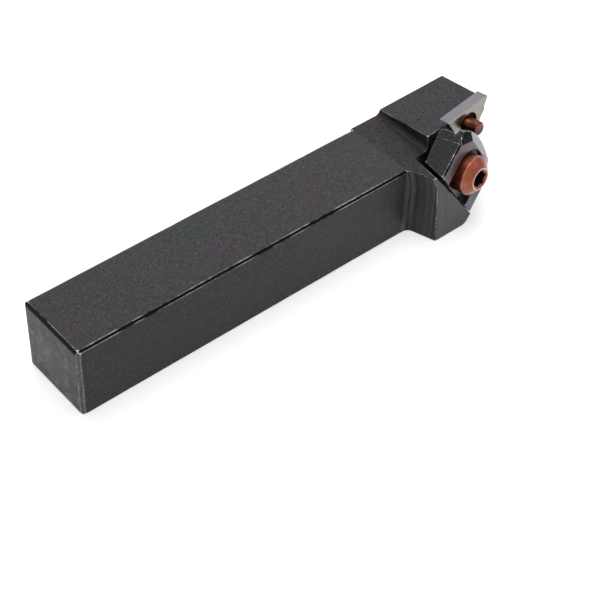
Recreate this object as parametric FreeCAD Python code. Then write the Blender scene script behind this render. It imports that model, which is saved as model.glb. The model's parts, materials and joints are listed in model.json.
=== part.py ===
import FreeCAD, Part
import math
import os
from FreeCAD import Placement, Rotation, Vector

# Turning tool holder with a square shank and a wedge clamp, lying on its side.
# X runs from the rear end to the cutting head, -Y is the side that carries the insert
# (the top of the tool in use), +Z is the cutting side, and Z = 0 is the face it lies on.
# The origin is in the middle of the rear end's lower edge. Lengths are in millimetres.

# Shank
SHANK_HEIGHT = 20.0
SHANK_WIDTH = 20.0
RAKE_CHAMFER = 0.6
BASE_CHAMFER = 0.8
LOW_CHAMFER = 0.2
REAR_CHAMFER = 0.8
REAR_EDGE = 0.3
REAR_GRIND = 0.45
REAR_GRIND_DROP = 1.35

# Head block, measured from the rear end and from the shank's cutting side
HEAD_LENGTH = 124.5
HEAD_OVERHANG = 4.6
STEP_LENGTH = 21.35
STEP_FILLET = 1.3
NOSE_ROUND = 0.4
TOE_ROUND = 2.5
FRONT_LEAN = 37.5
FRONT_LAND = 4.1
SIDE_HEIGHT = 1.35
SIDE_RISE = 1.2
SIDE_CLEARANCE = 8.4

# Fence that backs the wedge
FENCE_BACK = 28.3
FENCE_ROOT = 30.6
FENCE_LEAN = 18.5
FENCE_FILLET = 2.0
FENCE_ARC = 24.4
FENCE_ARC_HEIGHT = 8.0
FENCE_HEIGHT = 6.2
FENCE_SLOPE = 3.4
FENCE_SWEEP = 60.0

# Insert seat: a plane that drops away towards the cutting corner
INSERT_CIRCLE = 9.525
INSERT_ANGLE = 60.0
INSERT_THICKNESS = 4.76
RAKE_TILT = 6.0
LEAN_TILT = 6.0
LEAD_ANGLE = 3.0
SEAT_SETBACK = 6.63
SEAT_DROP = 3.63
SEAT_INSET = 0.08
SHOULDER_DROP = 0.55
POCKET_WALL = 15.75
POCKET_TURN = 3.1
WEDGE_ANGLE = 13.2

# Seat plate under the insert
SHIM_THICKNESS = 3.18
SHIM_INSET = 0.3
SHIM_CORNER = 0.45
SHIM_HOLE = 6.2
SHIM_LEDGE = 1.6
SHIM_BORE = 5.3
SHIM_CHAMFER = 0.2
SHIM_CLEARANCE = 0.12

# Locating pin, screwed into the head from the seat
PIN_DIAMETER = 3.7
PIN_HEIGHT = 3.5
PIN_CHAMFER = 0.35
PIN_COLLAR = 5.9
PIN_COLLAR_HEIGHT = 0.7
PIN_THREAD = 5.0
PIN_LENGTH = 11.0
PIN_SOCKET = 2.5
PIN_SOCKET_DEPTH = 2.2

# Wedge clamp
WEDGE_LENGTH = 19.9
WEDGE_GAP = 0.08
WEDGE_BOTTOM = 1.0
WEDGE_BOTTOM_SLOPE = 10.0
WEDGE_TOP = 7.75
WEDGE_TOP_SLOPE = 7.2
PUSH_FACE = 6.45
PUSH_FACE_LEAN = 8.0
PUSH_ROUND = 1.0
RELIEF_DEPTH = 0.45
RELIEF_ROUND = 0.4
LIP_GAP = 0.1
NOSE_CROWN = 2.15
NOSE_CROWN_SHIFT = 1.0
NOSE_NEAR_CORNER = 4.9
NOSE_FAR_CORNER = 7.0
NOSE_BEVEL = 32.0
NOSE_BEVEL_WIDTH = 2.6
CORNER_CUT = 4.5
CORNER_CUT_LENGTH = 3.2
CORNER_CUT_DROP = 0.9
END_CHAMFER = 0.55
END_STEP = 0.15
END_BAND = 2.5
POCKET_DIAMETER = 11.9
POCKET_DEPTH = 2.2
WEDGE_HOLE = 6.8

# Clamp screw and its retaining ring
SCREW_SETBACK = 10.97
SCREW_THREAD = 6.0
SCREW_LENGTH = 18.0
SCREW_CHAMFER = 0.6
SCREW_HEAD = 10.0
SCREW_HEAD_HEIGHT = 5.9
SCREW_CONE_HEIGHT = 1.85
SCREW_FLAT = 5.8
SCREW_SOCKET = 4.0
SCREW_SOCKET_DEPTH = 3.6
SCREW_MOUTH = 5.4
SCREW_MOUTH_DEPTH = 0.5
RING_DIAMETER = 8.8
RING_THICKNESS = 0.8
RING_GROOVE = 4.9
RING_GAP = 0.05
RING_STAND = 0.95
RING_MOUTH = 4.2
RING_RECESS = 9.6
RING_RECESS_DEPTH = 2.6

# Clearance of a thread in its hole, on the radius
THREAD_CLEARANCE = 0.05

# Reach of a cutting tool that has to pass right through the body
REACH = HEAD_LENGTH / 2

RAKE_Y = -SHANK_HEIGHT / 2
BASE_Y = SHANK_HEIGHT / 2
X_AXIS = Vector(1, 0, 0)
Y_AXIS = Vector(0, 1, 0)
Z_AXIS = Vector(0, 0, 1)


def slope(degrees):
    return math.tan(math.radians(degrees))


def seat_placement():
    """The seat's own frame: u along the insert's back side, v to the cutting corner, w off the seat."""
    w = Vector(slope(RAKE_TILT), -1, slope(LEAN_TILT)).normalize()
    back_side = math.radians(INSERT_ANGLE - LEAD_ANGLE)
    u = Vector(math.cos(back_side), 0, -math.sin(back_side))
    u = (u - w * u.dot(w)).normalize()
    v = w.cross(u)
    centre = Vector(HEAD_LENGTH - SEAT_SETBACK, RAKE_Y + SEAT_DROP, SHANK_WIDTH - SEAT_INSET)
    return Placement(centre, Rotation(u, v, w, "ZXY"))


def placed(shape, placement):
    """A copy of the shape, moved from its own frame by the placement."""
    moved = shape.copy()
    moved.Placement = placement.multiply(moved.Placement)
    return moved


def rounded_face(corners):
    """A flat face in XY from (x, y, radius) corners; a radius of 0 keeps the corner sharp."""
    points = [Vector(x, y, 0) for x, y, _ in corners]
    starts, ends, arcs = [], [], []
    for i, (_, _, radius) in enumerate(corners):
        here = points[i]
        back = (points[i - 1] - here).normalize()
        ahead = (points[(i + 1) % len(points)] - here).normalize()
        if radius == 0:
            starts.append(here)
            ends.append(here)
            arcs.append(None)
            continue
        half = back.getAngle(ahead) / 2
        reach = radius / math.tan(half)
        centre = here + (back + ahead).normalize() * (radius / math.sin(half))
        middle = centre + (here - centre).normalize() * radius
        starts.append(here + back * reach)
        ends.append(here + ahead * reach)
        arcs.append(Part.Arc(starts[-1], middle, ends[-1]).toShape())
    edges = []
    for i in range(len(points)):
        if arcs[i]:
            edges.append(arcs[i])
        following = starts[(i + 1) % len(points)]
        if ends[i].distanceToPoint(following) > 1e-6:
            edges.append(Part.LineSegment(ends[i], following).toShape())
    return Part.Face(Part.Wire(edges))


def plan_prism(corners, near_y, far_y):
    """A prism from an outline in X and Z, from near_y towards far_y along -Y."""
    solid = rounded_face(corners).extrude(Z_AXIS * (near_y - far_y))
    return placed(solid, Placement(Y_AXIS * near_y, Rotation(X_AXIS, 90)))


def beyond(point, normal):
    """A large block on the side of a plane that its normal points to."""
    size = 4 * REACH
    block = Part.makeBox(size, size, size, Vector(-size / 2, -size / 2, 0))
    return placed(block, Placement(point, Rotation(Z_AXIS, normal)))


def rod(diameter, low, high):
    """A round bar about the w axis."""
    return Part.makeCylinder(diameter / 2, high - low, Z_AXIS * low)


def hexagon(across_flats, low, high):
    """A hexagonal bar about the w axis, with a flat at the front."""
    radius = across_flats / math.sqrt(3)
    turns = [math.radians(60 * i) for i in range(6)]
    corners = [(radius * math.cos(a), radius * math.sin(a), 0) for a in turns]
    bar = rounded_face(corners).extrude(Z_AXIS * (high - low))
    return placed(bar, Placement(Z_AXIS * low, Rotation()))


def triangle_prism(inset, corner, low, high):
    """The insert's triangle, shrunk by an inset, with rounded corners."""
    reach = INSERT_CIRCLE - 2 * inset
    turns = [math.radians(90 + 120 * i) for i in range(3)]
    corners = [(reach * math.cos(a), reach * math.sin(a), corner) for a in turns]
    prism = rounded_face(corners).extrude(Z_AXIS * (high - low))
    return placed(prism, Placement(Z_AXIS * low, Rotation()))


def wedge_normal(turn_angle):
    """Direction from a wedge face into the pocket, in the seat's frame."""
    turn = math.radians(turn_angle)
    lean = math.radians(WEDGE_ANGLE)
    flat = Vector(-math.sin(turn), math.cos(turn), 0)
    return flat * math.cos(lean) + Z_AXIS * math.sin(lean)


def shank():
    """The square bar, with its long edges and its rear end chamfered."""
    length = HEAD_LENGTH - FENCE_ROOT + FENCE_FILLET
    bar = Part.makeBox(length, SHANK_HEIGHT, SHANK_WIDTH, Y_AXIS * RAKE_Y)
    rear = X_AXIS * REAR_EDGE
    cuts = [
        beyond(Vector(0, RAKE_Y + RAKE_CHAMFER, SHANK_WIDTH), Vector(0, -1, 1)),
        beyond(Vector(0, BASE_Y - BASE_CHAMFER, SHANK_WIDTH), Vector(0, 1, 1)),
        beyond(Vector(0, RAKE_Y + LOW_CHAMFER, 0), Vector(0, -1, -1)),
        beyond(Vector(REAR_CHAMFER, RAKE_Y, 0), Vector(-1, -1, 0)),
        beyond(rear + Y_AXIS * BASE_Y, Vector(-1, 1, 0)),
        beyond(rear, Vector(-1, 0, -1)),
        beyond(Vector(REAR_GRIND, 0, SHANK_WIDTH), Vector(-REAR_GRIND_DROP, 0, REAR_GRIND)),
    ]
    return bar.cut(cuts)


def head_blank():
    """The full height of the head: block and fence before the pocket is milled."""
    top = SHANK_WIDTH + HEAD_OVERHANG
    toe = HEAD_LENGTH - (top - FRONT_LAND) * slope(FRONT_LEAN)
    step = HEAD_LENGTH - STEP_LENGTH
    root = HEAD_LENGTH - FENCE_ROOT
    corners = [
        (root, 0, 0),
        (toe, 0, TOE_ROUND),
        (toe + top * slope(FRONT_LEAN), top, 0),
        (step, top, 0),
        (step, SHANK_WIDTH, STEP_FILLET),
        (root, SHANK_WIDTH, 0),
    ]
    return plan_prism(corners, BASE_Y, RAKE_Y - 2 * FENCE_HEIGHT)


def flank_envelope():
    """What the inclined milling pass along the cutting side leaves, with its rounded front edge."""
    low, left = -REACH, -REACH
    flank = SHANK_WIDTH + SIDE_HEIGHT + STEP_LENGTH * slope(SIDE_RISE)
    corners = [
        (left, low, 0),
        (HEAD_LENGTH, low, 0),
        (HEAD_LENGTH, flank, NOSE_ROUND),
        (left, flank - (HEAD_LENGTH - left) * slope(SIDE_RISE), 0),
    ]
    outline = placed(rounded_face(corners), Placement(Y_AXIS * BASE_Y, Rotation(X_AXIS, 90)))
    return outline.extrude(Vector(0, -1, slope(SIDE_CLEARANCE)) * REACH)


def fence_top_relief():
    """What lies above the fence's sloping top face."""
    edge = Vector(HEAD_LENGTH, RAKE_Y - FENCE_HEIGHT, SHANK_WIDTH)
    return beyond(edge, Vector(0, -1, slope(FENCE_SLOPE)))


def fence_back_relief():
    """The milled run-out behind the fence, with its concave foot."""
    foot = HEAD_LENGTH - FENCE_BACK
    left = HEAD_LENGTH - FENCE_ROOT - FENCE_FILLET
    rise = 3 * FENCE_HEIGHT
    corners = [
        (left, RAKE_Y, 0),
        (foot, RAKE_Y, FENCE_FILLET),
        (foot + rise * slope(FENCE_LEAN), RAKE_Y - rise, 0),
        (left, RAKE_Y - rise, 0),
    ]
    bend = Z_AXIS * (SHANK_WIDTH - FENCE_ARC_HEIGHT)
    profile = placed(rounded_face(corners), Placement(bend, Rotation()))
    straight = profile.extrude(Z_AXIS * -REACH)
    centre = bend + X_AXIS * (foot + FENCE_HEIGHT * slope(FENCE_LEAN) - FENCE_ARC)
    return straight.fuse(profile.revolve(centre, Y_AXIS * -1, FENCE_SWEEP))


def insert_pocket():
    """Room for the wedge and the insert, above the shoulder and in front of the fence."""
    above = beyond(Z_AXIS * -SHOULDER_DROP, Z_AXIS)
    wall = Vector(0, -POCKET_WALL, 0)
    pocket = above.common(beyond(wall, wedge_normal(POCKET_TURN)))
    recess = triangle_prism(SHIM_INSET - SHIM_CLEARANCE, SHIM_CORNER, -SHIM_THICKNESS, 0)
    return pocket.fuse(recess)


def body_holes():
    """Tapped holes for the pin and the screw, and the recess that frees the ring."""
    pin_hole = rod(PIN_THREAD + 2 * THREAD_CLEARANCE, -REACH, 0)
    screw_hole = rod(SCREW_THREAD + 2 * THREAD_CLEARANCE, -REACH, 0)
    recess = rod(RING_RECESS, -SHOULDER_DROP - RING_RECESS_DEPTH, 0)
    aside = Placement(Vector(0, -SCREW_SETBACK, 0), Rotation())
    return pin_hole.fuse([placed(screw_hole, aside), placed(recess, aside)])


def holder_body(seat):
    head = head_blank().common(flank_envelope())
    reliefs = [fence_back_relief(), fence_top_relief()]
    reliefs += [placed(insert_pocket(), seat), placed(body_holes(), seat)]
    return head.cut(reliefs).fuse(shank()).removeSplitter()


def shim():
    """Triangular seat plate, with a stepped hole that the pin's collar clamps."""
    plate = triangle_prism(SHIM_INSET, SHIM_CORNER, -SHIM_THICKNESS, 0)
    rims = [e for e in plate.Edges if e.BoundBox.ZLength < 1e-6]
    plate = plate.makeChamfer(SHIM_CHAMFER, rims)
    hole = rod(SHIM_HOLE, -SHIM_LEDGE, 1).fuse(rod(SHIM_BORE, -SHIM_THICKNESS - 1, 1))
    return plate.cut(hole)


def locating_pin():
    """Plain pin that fills the insert's hole, a collar on the plate, and a threaded stem."""
    nose, collar, stem = PIN_DIAMETER / 2, PIN_COLLAR / 2, PIN_THREAD / 2
    low = -SHIM_LEDGE - PIN_LENGTH
    outline = [
        (0, low),
        (stem - PIN_CHAMFER, low),
        (stem, low + PIN_CHAMFER),
        (stem, -SHIM_LEDGE),
        (collar, -SHIM_LEDGE),
        (collar, PIN_COLLAR_HEIGHT - SHIM_LEDGE),
        (nose, PIN_COLLAR_HEIGHT - SHIM_LEDGE),
        (nose, PIN_HEIGHT - PIN_CHAMFER),
        (nose - PIN_CHAMFER, PIN_HEIGHT),
        (0, PIN_HEIGHT),
    ]
    return turned(outline).cut(hexagon(PIN_SOCKET, low - 1, low + PIN_SOCKET_DEPTH))


def turned(outline):
    """A solid of revolution about the w axis, from (radius, height) points."""
    points = [Vector(r, 0, h) for r, h in outline]
    return Part.Face(Part.makePolygon(points + points[:1])).revolve(Vector(), Z_AXIS, 360)


def wedge_profile():
    """The wedge's cross-section in v and w: push face, relief groove, lip and sloping top."""
    under_lip = INSERT_THICKNESS + LIP_GAP
    push_low = -PUSH_FACE
    push_high = push_low + (under_lip - WEDGE_BOTTOM) * slope(PUSH_FACE_LEAN)
    back = -2 * POCKET_WALL
    bottom_back = WEDGE_BOTTOM + (-SCREW_SETBACK - back) * slope(WEDGE_BOTTOM_SLOPE)
    bottom_front = WEDGE_BOTTOM + (-SCREW_SETBACK - push_low) * slope(WEDGE_BOTTOM_SLOPE)
    top_front = WEDGE_TOP - SCREW_SETBACK * slope(WEDGE_TOP_SLOPE)
    top_back = top_front - back * slope(WEDGE_TOP_SLOPE)
    corners = [
        (back, bottom_back, 0),
        (push_low, bottom_front, PUSH_ROUND),
        (push_high, under_lip - RELIEF_DEPTH, 0),
        (push_high - RELIEF_DEPTH, under_lip - RELIEF_DEPTH, 0),
        (push_high - RELIEF_DEPTH, under_lip, RELIEF_ROUND),
        (0, under_lip, 0),
        (0, top_front, 0),
        (back, top_back, 0),
    ]
    return rounded_face(corners)


def wedge_plan():
    """The wedge seen along the screw: square ends and a crowned nose."""
    half = WEDGE_LENGTH / 2
    left, right = Vector(-half, -NOSE_NEAR_CORNER, 0), Vector(half, -NOSE_FAR_CORNER, 0)
    crown = Part.Arc(left, Vector(-NOSE_CROWN_SHIFT, -NOSE_CROWN, 0), right).toShape()
    back = [right, Vector(half, -REACH, 0), Vector(-half, -REACH, 0), left]
    sides = [Part.LineSegment(a, b).toShape() for a, b in zip(back, back[1:])]
    return Part.Face(Part.Wire([crown] + sides)).extrude(Z_AXIS * REACH)


def top_at(v):
    """Height of the wedge's top plane at a place on the v axis."""
    return WEDGE_TOP - (SCREW_SETBACK + v) * slope(WEDGE_TOP_SLOPE)


def nose_cuts():
    """The chip bevel along the nose and the facets at its two corners."""
    bevel_v = -NOSE_CROWN - NOSE_BEVEL_WIDTH
    bevel = beyond(Vector(0, bevel_v, top_at(bevel_v)), Vector(0, slope(NOSE_BEVEL), 1))
    half = WEDGE_LENGTH / 2
    cuts = [bevel]
    for side, nose_corner in ((-1, NOSE_NEAR_CORNER), (1, NOSE_FAR_CORNER)):
        inner = Vector(side * (half - CORNER_CUT), bevel_v, top_at(bevel_v))
        rear_v = -nose_corner - CORNER_CUT_LENGTH
        rear = Vector(side * (half - END_CHAMFER), rear_v, top_at(rear_v))
        corner = Vector(side * half, -nose_corner, top_at(-nose_corner) - CORNER_CUT_DROP)
        normal = (rear - inner).cross(corner - inner)
        if normal.z < 0:
            normal = normal * -1
        cuts.append(beyond(inner, normal))
    return cuts


def end_cuts():
    """The chamfers along the top of both ends, and the shallow step that leaves a band by the push face."""
    half = WEDGE_LENGTH / 2
    band_edge = Vector(0, -PUSH_FACE - END_BAND, WEDGE_BOTTOM)
    behind_band = beyond(band_edge, Vector(0, -1, slope(PUSH_FACE_LEAN)))
    cuts = []
    for side in (-1, 1):
        edge = Vector(side * half, -SCREW_SETBACK, WEDGE_TOP - END_CHAMFER)
        cuts.append(beyond(edge, Vector(side, slope(WEDGE_TOP_SLOPE), 1)))
        step = beyond(Vector(side * (half - END_STEP), 0, 0), Vector(side, 0, 0))
        cuts.append(step.common(behind_band))
    return cuts


def screw_pocket():
    """The open-backed pocket for the screw's head, the hole under it and the ring's seat."""
    floor = WEDGE_TOP - POCKET_DEPTH
    width = POCKET_DIAMETER
    head_room = rod(width, floor, REACH)
    open_back = Part.makeBox(width, REACH, REACH, Vector(-width / 2, -REACH, floor))
    hole = rod(WEDGE_HOLE, -REACH, REACH)
    ring_seat = rod(RING_RECESS, -REACH, ring_top() + RING_GAP)
    return head_room.fuse([open_back, hole, ring_seat])


def ring_top():
    """The ring's upper face, close under the wedge."""
    return WEDGE_BOTTOM + RING_STAND


def wedge_clamp():
    half = WEDGE_LENGTH / 2
    along = Placement(Vector(-half, 0, 0), Rotation(Vector(1, 1, 1), 120))
    bar = placed(wedge_profile().extrude(Z_AXIS * WEDGE_LENGTH), along)
    back_point = Vector(0, -POCKET_WALL + half * slope(POCKET_TURN) + WEDGE_GAP, 0)
    screw_axis = Placement(Vector(0, -SCREW_SETBACK, 0), Rotation())
    cuts = nose_cuts() + end_cuts()
    cuts += [beyond(back_point, wedge_normal(0) * -1), placed(screw_pocket(), screw_axis)]
    return bar.common(wedge_plan()).cut(cuts).removeSplitter()


def clamp_screw():
    """Cap screw with a coned head, a hexagon socket and a groove for the ring."""
    seat = WEDGE_TOP - POCKET_DEPTH
    top = seat + SCREW_HEAD_HEIGHT
    low = seat - SCREW_LENGTH
    stem, groove = SCREW_THREAD / 2, RING_GROOVE / 2
    outline = [
        (0, low),
        (stem - SCREW_CHAMFER, low),
        (stem, low + SCREW_CHAMFER),
        (stem, ring_top() - RING_THICKNESS - RING_GAP),
        (groove, ring_top() - RING_THICKNESS - RING_GAP),
        (groove, ring_top() + RING_GAP),
        (stem, ring_top() + RING_GAP),
        (stem, seat),
        (SCREW_HEAD / 2, seat),
        (SCREW_HEAD / 2, top - SCREW_CONE_HEIGHT),
        (SCREW_FLAT / 2, top),
        (0, top),
    ]
    socket = hexagon(SCREW_SOCKET, top - SCREW_SOCKET_DEPTH, top + 1)
    mouth_low = Z_AXIS * (top - SCREW_MOUTH_DEPTH)
    mouth = Part.makeCone(SCREW_SOCKET / 2, SCREW_MOUTH / 2, SCREW_MOUTH_DEPTH, mouth_low)
    return turned(outline).cut([socket, mouth])


def retaining_ring():
    """Open ring, sprung sideways into the screw's groove."""
    low = ring_top() - RING_THICKNESS
    ring = rod(RING_DIAMETER, low, ring_top())
    mouth = Part.makeBox(RING_MOUTH, REACH, REACH, Vector(-RING_MOUTH / 2, -REACH, -REACH / 2))
    return ring.cut([rod(RING_GROOVE + 2 * RING_GAP, low - 1, ring_top() + 1), mouth])


def build():
    """Every piece by name, in the holder's frame."""
    seat = seat_placement()
    on_screw = seat.multiply(Placement(Vector(0, -SCREW_SETBACK, 0), Rotation()))
    return {
        "holder_body": holder_body(seat),
        "shim": placed(shim(), seat),
        "locating_pin": placed(locating_pin(), seat),
        "wedge_clamp": placed(wedge_clamp(), seat),
        "clamp_screw": placed(clamp_screw(), on_screw),
        "retaining_ring": placed(retaining_ring(), on_screw),
    }


os.makedirs("parts", exist_ok=True)
for name, shape in build().items():
    shape.exportStep(f"parts/{name}.step")
    print(name, shape.ShapeType, len(shape.Solids), shape.isValid(), round(shape.Volume, 1), shape.BoundBox)
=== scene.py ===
# %% [markdown]
# # Turning tool holder
# The real object is a steel bar that carries a small carbide insert in a lathe.
# Its body is milled, then blackened in a hot salt bath, and the seat plate, the pin and
# the clamp screw are separate small parts with their own finishes. The CAD solids give
# every size, so this script only adds what a camera sees up close: rounded and worn
# edges, screw threads, cutter marks, and the way black oxide changes tone over a face.

# %% Load the solids
import json
import math

import bmesh
import bpy
from mathutils import Matrix, Vector


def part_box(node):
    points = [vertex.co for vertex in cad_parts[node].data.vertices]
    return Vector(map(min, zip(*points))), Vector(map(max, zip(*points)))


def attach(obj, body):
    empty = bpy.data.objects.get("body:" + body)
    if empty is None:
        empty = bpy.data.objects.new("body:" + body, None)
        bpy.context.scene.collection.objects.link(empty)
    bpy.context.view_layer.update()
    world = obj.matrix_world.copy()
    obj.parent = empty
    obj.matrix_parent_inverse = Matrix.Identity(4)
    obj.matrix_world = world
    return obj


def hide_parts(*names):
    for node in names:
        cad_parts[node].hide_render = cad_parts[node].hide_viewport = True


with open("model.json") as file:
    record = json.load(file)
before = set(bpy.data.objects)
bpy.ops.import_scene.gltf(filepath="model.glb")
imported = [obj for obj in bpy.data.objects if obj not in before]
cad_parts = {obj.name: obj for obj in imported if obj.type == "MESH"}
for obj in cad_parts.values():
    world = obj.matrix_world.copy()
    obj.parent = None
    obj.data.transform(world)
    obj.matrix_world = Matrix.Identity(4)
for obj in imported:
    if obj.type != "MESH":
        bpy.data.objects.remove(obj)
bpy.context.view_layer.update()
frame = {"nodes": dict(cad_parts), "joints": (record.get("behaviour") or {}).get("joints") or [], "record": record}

MM = 0.001
scene = bpy.context.scene
for name in sorted(frame["nodes"]):
    low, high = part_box(name)
    print(f"{name}: {len(frame['nodes'][name].data.polygons)} faces, {(high - low) / MM} mm")

# %% [markdown]
# ## Where things are
# The insert seat is tilted, so most of the small parts stand along one slanted line.
# The hinge of the clamp screw already holds that line, and the seat's mount holds the
# middle of the seat. Reading them from the record keeps the pieces in place if the part
# is packed again. The third direction, along the wedge, follows from the 57 degrees
# between the wedge and the shank.

# %% The seat's own directions
WEDGE_ANGLE = math.radians(57)
SCREW_SETBACK = 10.97 * MM

turn = next(j for j in frame["joints"] if j["type"] == "hinge")
seat = next(m for m in frame["record"]["mounts"] if m["name"] == "insert_seat")
up = Vector(turn["axis"]).normalized()
along = Vector((math.cos(WEDGE_ANGLE), 0, -math.sin(WEDGE_ANGLE)))
along = (along - up * up.dot(along)).normalized()
across = up.cross(along)


def seat_matrix(origin):
    """Places a piece that was made along Z on the slanted line."""
    matrix = Matrix((along, across, up)).transposed().to_4x4()
    matrix.translation = origin
    return matrix


seat_middle = Vector(seat["pos_m"])
pin_place = seat_matrix(seat_middle)
screw_place = seat_matrix(seat_middle - across * SCREW_SETBACK)
aside = (screw_place.translation - Vector(turn["pos_m"])).cross(up).length
print("seat normal", tuple(round(c, 4) for c in up), "screw axis off by", aside / MM, "mm")

# %% [markdown]
# ## A piece that stands for a solid
# Blender's bmesh is a workbench for a mesh: faces are made and changed there, and only
# the result becomes an object. Every piece of the holder ends the same way, so one short
# function does it. It says which body the piece moves with and which CAD solid it hides.


# %% From a bmesh to a piece
def finished_piece(bm, name, body, node):
    """Turns the bmesh into an object that rides on a body and stands for a CAD node."""
    mesh = bpy.data.meshes.new(name)
    bm.to_mesh(mesh)
    bm.free()
    mesh.shade_smooth()
    piece = bpy.data.objects.new(name, mesh)
    scene.collection.objects.link(piece)
    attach(piece, body)
    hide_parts(node)
    return piece


# %% [markdown]
# ## Rounded edges
# No machined edge is truly sharp: it is broken with a file or worn by handling, and the
# thin rounding catches the light. A copy of each solid gets such a rounding with bmesh.
# Flat areas are first merged into single faces, so that the bevel only meets real edges,
# and inner corners are left as the cutter made them. A face may be such a thin sliver
# that a rounding would fold over it, and its edges are left out too.

# %% Find the sharp edges
SHARP_FROM = math.radians(28)
THIN = 0.3


def sharp_edges(bm, width):
    """The outer edges that turn sharply, without those on a sliver too thin to be rounded."""

    def thinnest(e):
        return min(face.calc_area() for face in e.link_faces) / e.calc_length()

    outer = [e for e in bm.edges if e.is_manifold and e.is_convex]
    sharp = [e for e in outer if e.calc_face_angle() > SHARP_FROM]
    return [e for e in sharp if thinnest(e) > THIN * width]


# %% [markdown]
# ## Corner glints
# A corner where three edges meet gets a painted glint, brighter than the edges. So each long edge is split close
# to such a corner. The new narrow faces get the value 1 in a face attribute called "edge", and the short ones at a
# corner nearly 2.
# The materials read it later to paint a bright line along the edges, partly worn coating and partly a painted
# highlight, and a painted glint at each corner.

# %% Round the edges and mark them
# Short faces near a corner carry a painted glint; the other rounded faces carry a line that is partly wear and
# partly a painted highlight.
GLINT_REACH = 0.45 * MM
EDGE_WEAR_AND_HIGHLIGHT, GLINT_AT_CORNER = 1.0, 1.9
FLAT = math.radians(0.4)
SAME_POINT, CLEAN_UP = 0.002 * MM, 0.001 * MM


def split_at_corners(sharp):
    """Splits the long edges near each corner, and returns the corners' places."""
    meeting = {}
    for e in sharp:
        for v in e.verts:
            meeting[v] = meeting.get(v, 0) + 1
    corners = [v.co.copy() for v, count in meeting.items() if count > 2]
    for e in list(sharp):
        for v in list(e.verts):
            if meeting[v] > 2 and e.calc_length() > 4 * GLINT_REACH:
                sharp.append(bmesh.utils.edge_split(e, v, GLINT_REACH / e.calc_length())[0])
    return corners


def softened(node, name, body, width):
    """Copies a solid, rounds its sharp edges, marks them, and lets the copy stand for it."""
    bm = bmesh.new()
    bm.from_mesh(frame["nodes"][node].data)
    edge = bm.faces.layers.float.new("edge")
    bmesh.ops.remove_doubles(bm, verts=bm.verts, dist=SAME_POINT)
    bmesh.ops.dissolve_limit(bm, angle_limit=FLAT, verts=bm.verts, edges=bm.edges)
    sharp = sharp_edges(bm, width)
    corners = split_at_corners(sharp)
    rounding = {"offset": width, "offset_type": "OFFSET", "segments": 2, "profile": 0.5}
    cut = bmesh.ops.bevel(bm, geom=sharp, affect="EDGES", clamp_overlap=False, **rounding)
    for face in cut["faces"]:
        middle = face.calc_center_median()
        corner_glint = any((middle - corner).length < GLINT_REACH for corner in corners)
        face[edge] = GLINT_AT_CORNER if corner_glint else EDGE_WEAR_AND_HIGHLIGHT
    bmesh.ops.remove_doubles(bm, verts=bm.verts, dist=CLEAN_UP)
    bmesh.ops.triangulate(bm, faces=bm.faces, quad_method="BEAUTY", ngon_method="BEAUTY")
    piece = finished_piece(bm, name, body, node)
    even = piece.modifiers.new("flat faces stay flat", "WEIGHTED_NORMAL")
    even.mode = "FACE_AREA"
    even.weight = 100
    print(f"{name}: {len(sharp)} sharp edges rounded, {len(piece.data.polygons)} faces")
    return piece


# %% [markdown]
# ## The four milled and ground pieces
# The bar is blackened after its edges were broken by hand, so its rounding is the widest.
# The hard seat plate and the ring keep nearly sharp edges.

# %% Round the holder, the plate, the wedge and the ring
holder = softened("holder_body", "holder_body_dressed", "holder", 0.14 * MM)
plate = softened("shim", "seat_plate_dressed", "holder", 0.05 * MM)
wedge = softened("wedge_clamp", "wedge_clamp_dressed", "wedge", 0.1 * MM)
ring = softened("retaining_ring", "retaining_ring_dressed", "screw", 0.05 * MM)

# %% [markdown]
# ## Rings for turned parts
# A screw is made on a lathe, so a list of rings describes it well: each ring is a circle
# with a radius and a height, and neighbouring rings are joined by faces. A thread is the
# same list with a twist: the radius also depends on the angle, and the ridge climbs by
# one pitch per turn. A hexagon socket is a ring whose radius follows six flats. Each ring
# also carries an edge value, as the rounded edges do, which paints wear and a highlight.

# %% Circles, hexagons and threads
SIDES = 96
RINGS_PER_TURN = 10
CREST, FLANK = 1.3, 2.6


def circle(radius, height, wear_and_glint=0.0):
    """A plain ring: its points, as radius and height, and its value for wear and painted highlight."""
    return [(radius, height)] * SIDES, wear_and_glint


def hexagon(across_flats, height, wear_and_glint=0.0):
    """A ring with six flats and a corner on the wedge's long direction."""
    sixth = math.pi / 3
    radii = []
    for i in range(SIDES):
        from_flat = (2 * math.pi * i / SIDES) % sixth - sixth / 2
        radii.append(across_flats / 2 / math.cos(from_flat))
    return [(radius, height) for radius in radii], wear_and_glint


def thread(radius, depth, pitch, low, high):
    """Rings from high down to low, with a helical ridge that fades out at both ends."""
    steps = math.ceil((high - low) / pitch * RINGS_PER_TURN)
    rings = []
    for k in range(steps + 1):
        height = high + (low - high) * k / steps
        fade = min(1.0, (high - height) / pitch, (height - low) / pitch)
        points = []
        for i in range(SIDES):
            phase = (height / pitch - i / SIDES) % 1.0
            ridge = min(1.0, max(0.0, CREST - FLANK * abs(phase - 0.5)))
            points.append((radius - depth * fade * (1 - ridge), height))
        rings.append((points, 0.0))
    return rings


print("points on a ring:", SIDES, "rings on a turn of thread:", RINGS_PER_TURN)

# %% [markdown]
# ## Joining the rings
# The first and last ring are closed by one face each, so the skin is watertight, and the
# whole part is then carried to its slanted line. Faces are shaded smooth, but where two
# of them meet at more than 50 degrees, as at a shoulder, the line between them stays hard.

# %% One closed skin over the rings
HARD_LINE = math.radians(50)


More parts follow.
